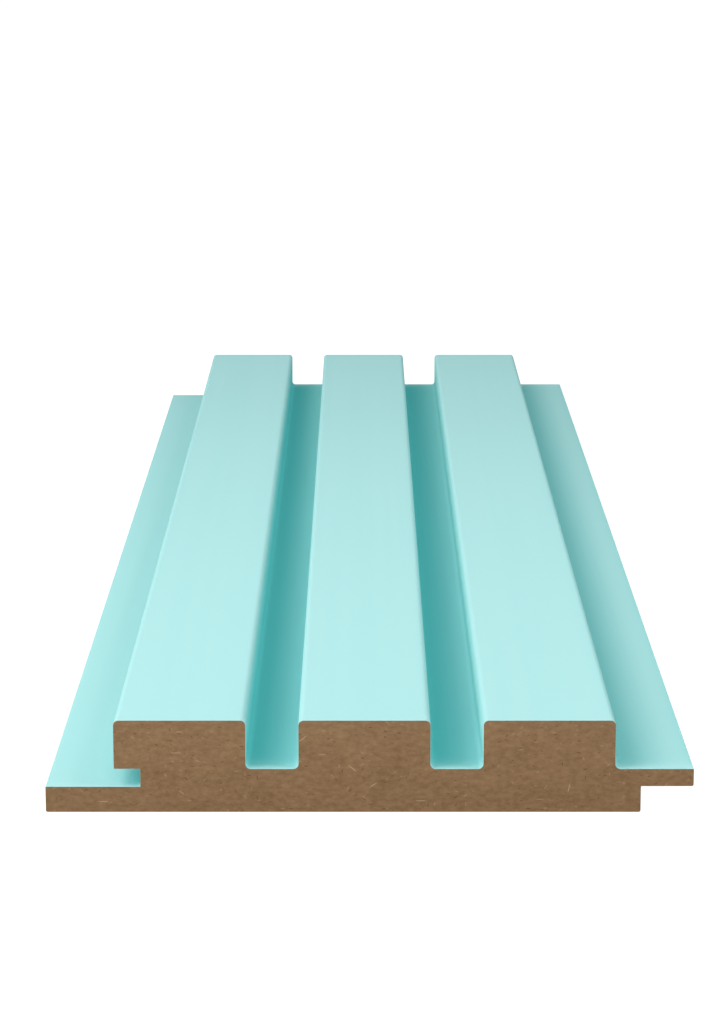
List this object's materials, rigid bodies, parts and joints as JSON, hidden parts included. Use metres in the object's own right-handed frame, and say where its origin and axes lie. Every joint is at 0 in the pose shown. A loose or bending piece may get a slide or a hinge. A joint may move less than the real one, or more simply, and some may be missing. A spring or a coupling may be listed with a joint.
{
  "type": "mdf wall panel",
  "caption": "Slatted MDF wall panel with square slats and painted grooves, a screw ledge with an undercut slot on one edge and a lapped tongue on the other.",
  "frame": {"origin": "centre of the panel's footprint, in the plane of its back face", "axes": "+Y along the slats, +X towards the tongue edge, +Z away from the wall, out of the slats' faces"},
  "size_m": [0.123, 0.425, 0.018],
  "materials": {
    "painted_mdf": "satin"
  },
  "bodies": {
    "root": {"wall_panel": "painted_mdf"}
  },
  "joints": []
}
